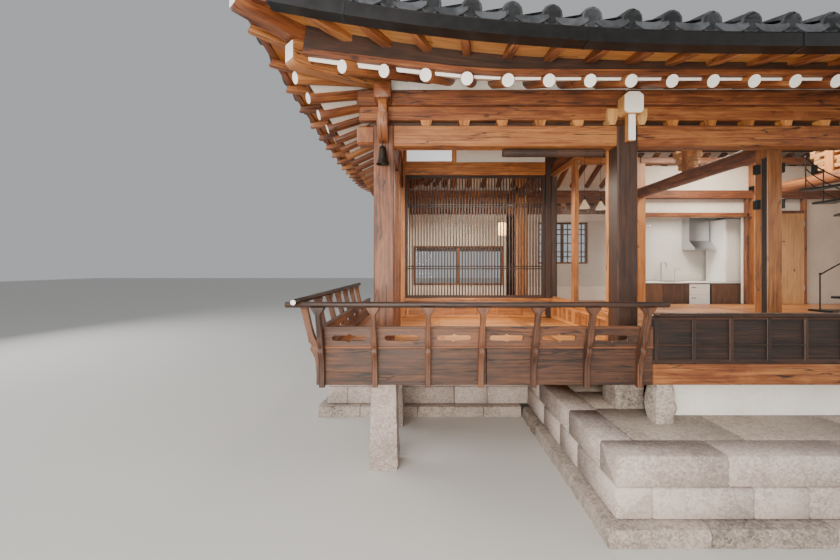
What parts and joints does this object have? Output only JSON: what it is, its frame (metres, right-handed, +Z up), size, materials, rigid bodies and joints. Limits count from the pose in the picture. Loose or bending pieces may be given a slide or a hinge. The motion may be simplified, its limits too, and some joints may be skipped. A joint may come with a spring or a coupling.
{
  "type": "hanok house",
  "caption": "Single-storey Korean timber house on a granite platform, with a railed raised pavilion room, lattice screen, glazed hall and a curved hip-and-gable tile roof.",
  "frame": {"origin": "on the low ground, under the middle of the house's overall footprint", "axes": "+X along the eaves to the right, +Y from the front to the back, +Z up"},
  "size_m": [11.7576, 7.49, 6.0241],
  "materials": {
    "granite": "pinkish-grey granite, hammered and rough split",
    "pine": "oiled aged red pine, satin, with knots and drying cracks",
    "dark_pine": "dark stained pine, satin",
    "golden_pine": "oiled golden pine boards, satin",
    "door_timber": "light oak veneer, satin, with a dark lever",
    "cane": "dark split cane, matte",
    "plaster": "white lime plaster, matte",
    "floor_stone": "honed grey stone",
    "roof_tile": "smoked grey clay tile, matte",
    "dark_metal": "black paint, satin",
    "cabinet_lacquer": "white lacquer, semi-gloss",
    "steel": "brushed stainless steel",
    "window_glass": "clear glass"
  },
  "bodies": {
    "house": {"platform": "granite", "corner_pillar_stone": "granite", "side_pillar_stone": "granite", "front_frame": "pine", "rear_frame": "pine", "left_frame": "pine", "right_frame": "pine", "front_purlin": "pine", "rear_purlin": "pine", "left_purlin": "pine", "right_purlin": "pine", "inner_frame": "pine", "front_rafters": "pine", "rear_rafters": "pine", "left_rafters": "pine", "right_rafters": "pine", "front_flying_rafters": "pine", "rear_flying_rafters": "pine", "left_flying_rafters": "pine", "right_flying_rafters": "pine", "hip_rafter_front_left": "pine", "hip_rafter_front_right": "pine", "hip_rafter_rear_left": "pine", "hip_rafter_rear_right": "pine", "roof_bed": "roof_tile", "roof_ridges": "roof_tile", "gable_wall_left": "plaster", "gable_wall_right": "plaster", "gable_boards_left": "dark_pine", "gable_boards_right": "dark_pine", "gutter_front": "dark_metal", "pavilion_floor": "golden_pine", "pavilion_skirt": "pine", "balustrade_front": "pine", "balustrade_left": "pine", "pavilion_back_wall": "golden_pine", "lattice_screen": "dark_pine", "pavilion_side_wall": "golden_pine", "side_pane_front": "window_glass", "side_pane_back": "window_glass", "cane_blind": "cane", "wind_bell": "dark_metal", "veranda_parapet": "dark_pine", "hall_floor": "golden_pine", "underfloor_wall": "plaster", "front_glass": "window_glass", "left_wall": "plaster", "right_wall": "plaster", "rear_wall": "plaster", "left_glass": "window_glass", "right_glass": "window_glass", "rear_glass": "window_glass", "kitchen_frame": "pine", "kitchen_wall": "plaster", "kitchen_floor": "floor_stone", "kitchen_cabinets": "cabinet_lacquer", "cooker_hood": "steel", "spiral_stair": "dark_metal"},
    "door": {"door_leaf": "door_timber"}
  },
  "joints": [
    {"name": "door_hinge", "type": "hinge", "parent": "house", "child": "door", "pos_m": [3.352, 1.446, 1.226], "axis": [0, 0, 1], "range_deg": [0, 100]}
  ]
}
